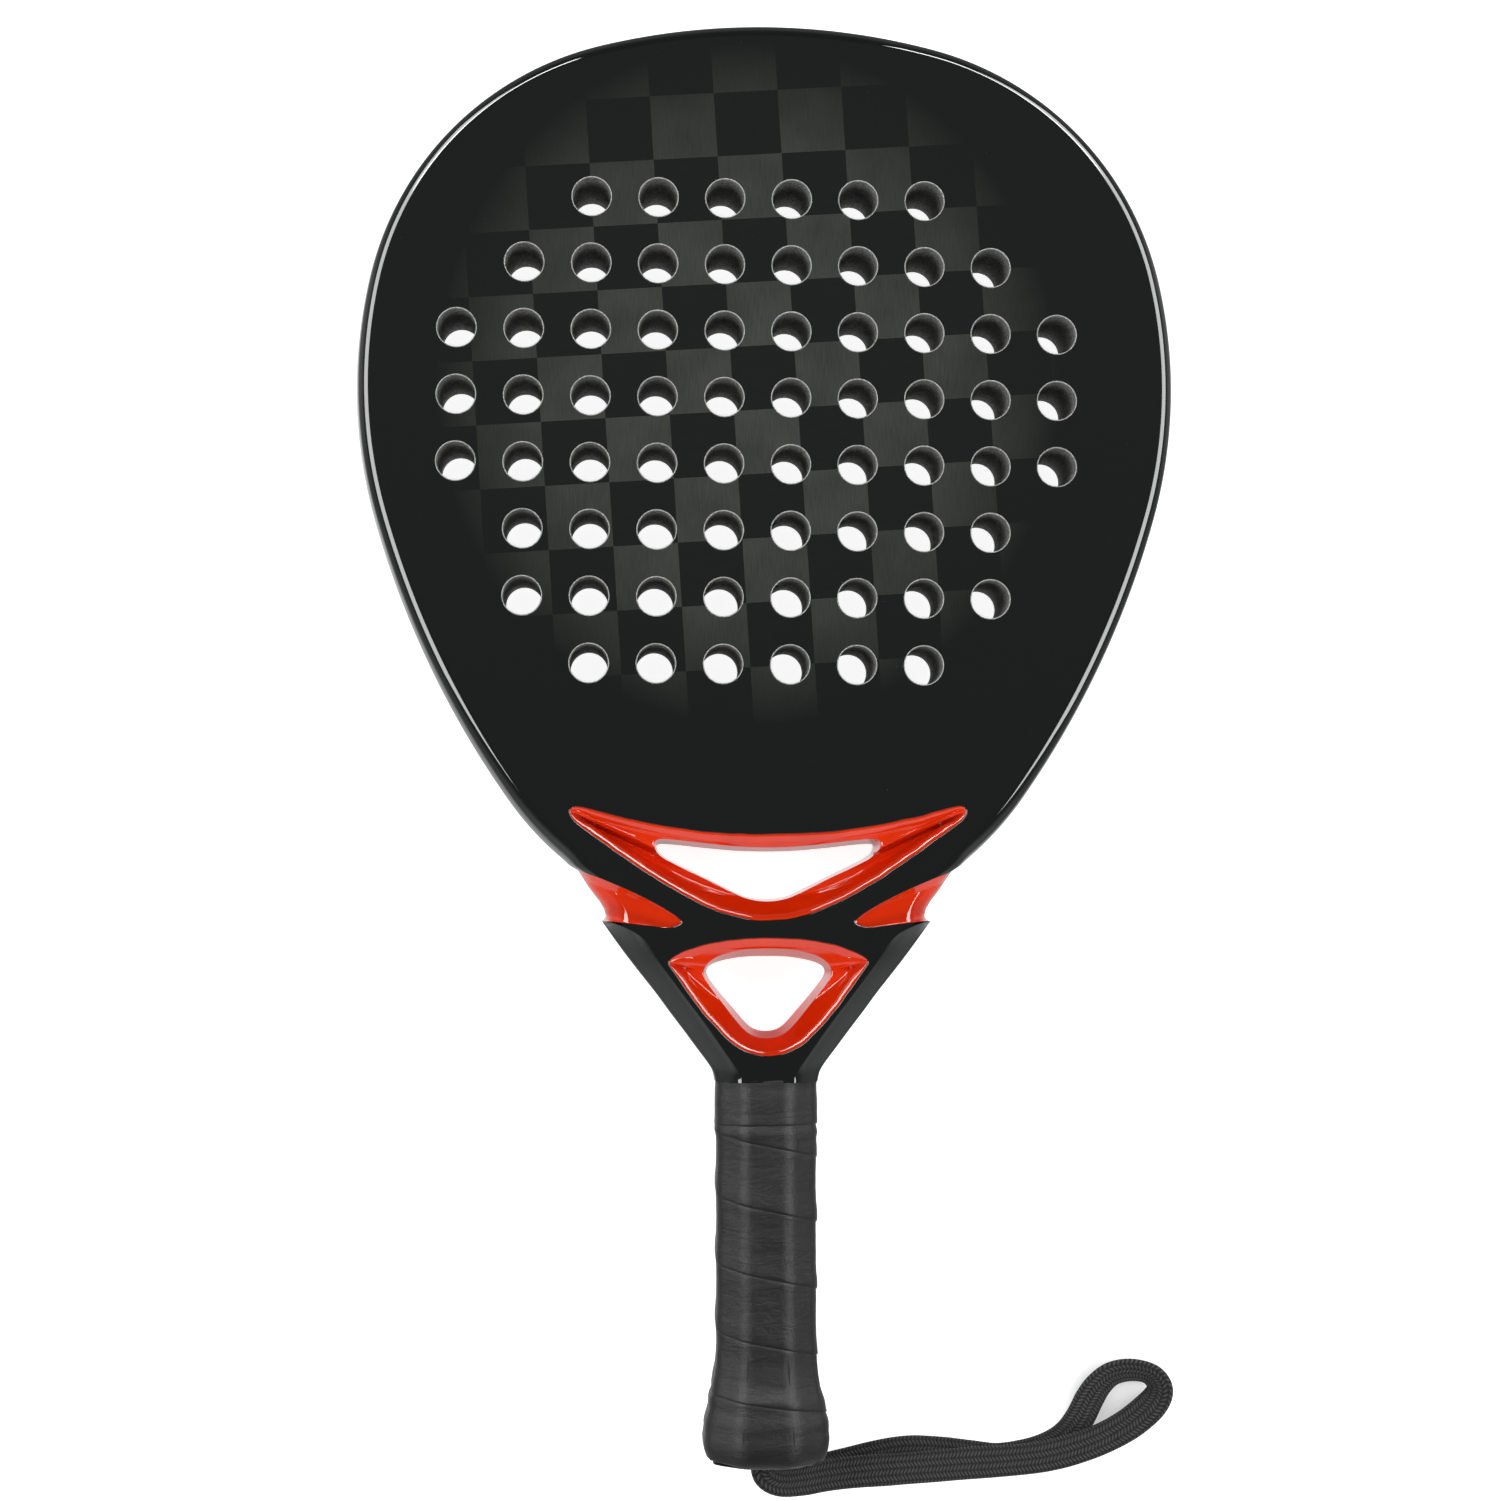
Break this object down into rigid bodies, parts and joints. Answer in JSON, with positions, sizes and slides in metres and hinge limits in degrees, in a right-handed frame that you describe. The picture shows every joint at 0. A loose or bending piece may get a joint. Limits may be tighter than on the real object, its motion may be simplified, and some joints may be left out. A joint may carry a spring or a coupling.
{
  "type": "padel racket",
  "caption": "Padel racket: teardrop foam-core head drilled with a square grid of holes, open throat with two red-lined windows, wrapped handle and wrist strap.",
  "frame": {"origin": "centre of the racket's outline, on the plane of the back face that it lies on, without the wrist strap", "axes": "+Z out of the front face, +Y from the handle towards the head's top, +X to the right seen from the front"},
  "size_m": [0.2616, 0.4668, 0.038],
  "materials": {
    "lacquered_carbon": "clear-coated black carbon composite with a faint check of wide tows",
    "raw_composite": "unpainted satin composite",
    "eva_foam": "closed-cell foam, matt",
    "red_lacquer": "high-gloss red lacquer",
    "pallet_foam": "moulded structural foam",
    "grip_wrap": "soft satin polyurethane wrap",
    "butt_plastic": "moulded plastic",
    "staple_wire": "bright wire",
    "strap_braid": "flat tubular braid"
  },
  "bodies": {
    "root": {"head_hoop": "lacquered_carbon", "foam_core": "eva_foam", "front_face": "lacquered_carbon", "back_face": "lacquered_carbon", "head_bridge": "lacquered_carbon", "left_throat_leg": "lacquered_carbon", "right_throat_leg": "lacquered_carbon", "throat_web": "lacquered_carbon", "upper_window_liner": "red_lacquer", "lower_window_liner": "red_lacquer", "left_notch_panel": "red_lacquer", "right_notch_panel": "red_lacquer", "left_handle_tube": "raw_composite", "right_handle_tube": "raw_composite", "front_pallet": "pallet_foam", "back_pallet": "pallet_foam", "base_grip": "grip_wrap", "overgrip": "grip_wrap", "grip_band": "grip_wrap", "butt_cap": "butt_plastic", "butt_staples": "staple_wire", "strap_knot": "strap_braid", "wrist_strap": "strap_braid"}
  },
  "joints": []
}
